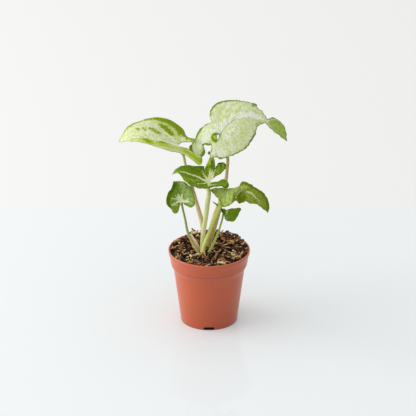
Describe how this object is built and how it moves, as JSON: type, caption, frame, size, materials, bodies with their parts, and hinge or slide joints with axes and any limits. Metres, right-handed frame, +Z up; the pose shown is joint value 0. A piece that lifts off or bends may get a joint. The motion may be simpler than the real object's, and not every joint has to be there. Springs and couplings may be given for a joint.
{
  "type": "potted plant",
  "caption": "Young arrowhead plant with mottled leaves on slim stalks, growing in bark mix in a small tapered nursery pot with a flat foot.",
  "frame": {"origin": "centre of the flat pad under the pot, on the surface that the pot stands on", "axes": "+Z up, along the plant's height; +X to the right as seen from the front; -Y towards the front"},
  "size_m": [0.1246, 0.0635, 0.1639],
  "materials": {
    "pot": "satin moulded terracotta-coloured plastic",
    "soil": "coarse dark bark mix with tan chips",
    "leaf_a": "cream leaf with green margin and mottle",
    "leaf_b": "very pale green leaf with faint mottle and a green edge",
    "leaf_c": "glossy dark green leaf with pale star veins",
    "leaf_d": "green leaf with a pale fold and pale veins",
    "leaf_e": "green leaf with pale star veins",
    "leaf_f": "dark green leaf",
    "stalk_tan": "tan to brownish leaf stalk",
    "stalk_pale": "pale green leaf stalk with a tan side",
    "stalk_green": "green leaf stalk that turns tan at its foot",
    "root": "pale matt root",
    "sheath": "dry papery sheath"
  },
  "bodies": {
    "root": {"pot": "pot", "soil": "soil", "leaf_a": "leaf_a", "leaf_b": "leaf_b", "leaf_c": "leaf_c", "leaf_d": "leaf_d", "leaf_e": "leaf_e", "leaf_f": "leaf_f", "petiole_a": "stalk_tan", "petiole_b": "stalk_tan", "petiole_c": "stalk_pale", "petiole_d": "stalk_pale", "petiole_e": "stalk_green", "petiole_f": "stalk_green", "aerial_root": "root", "sheath": "sheath"}
  },
  "joints": []
}
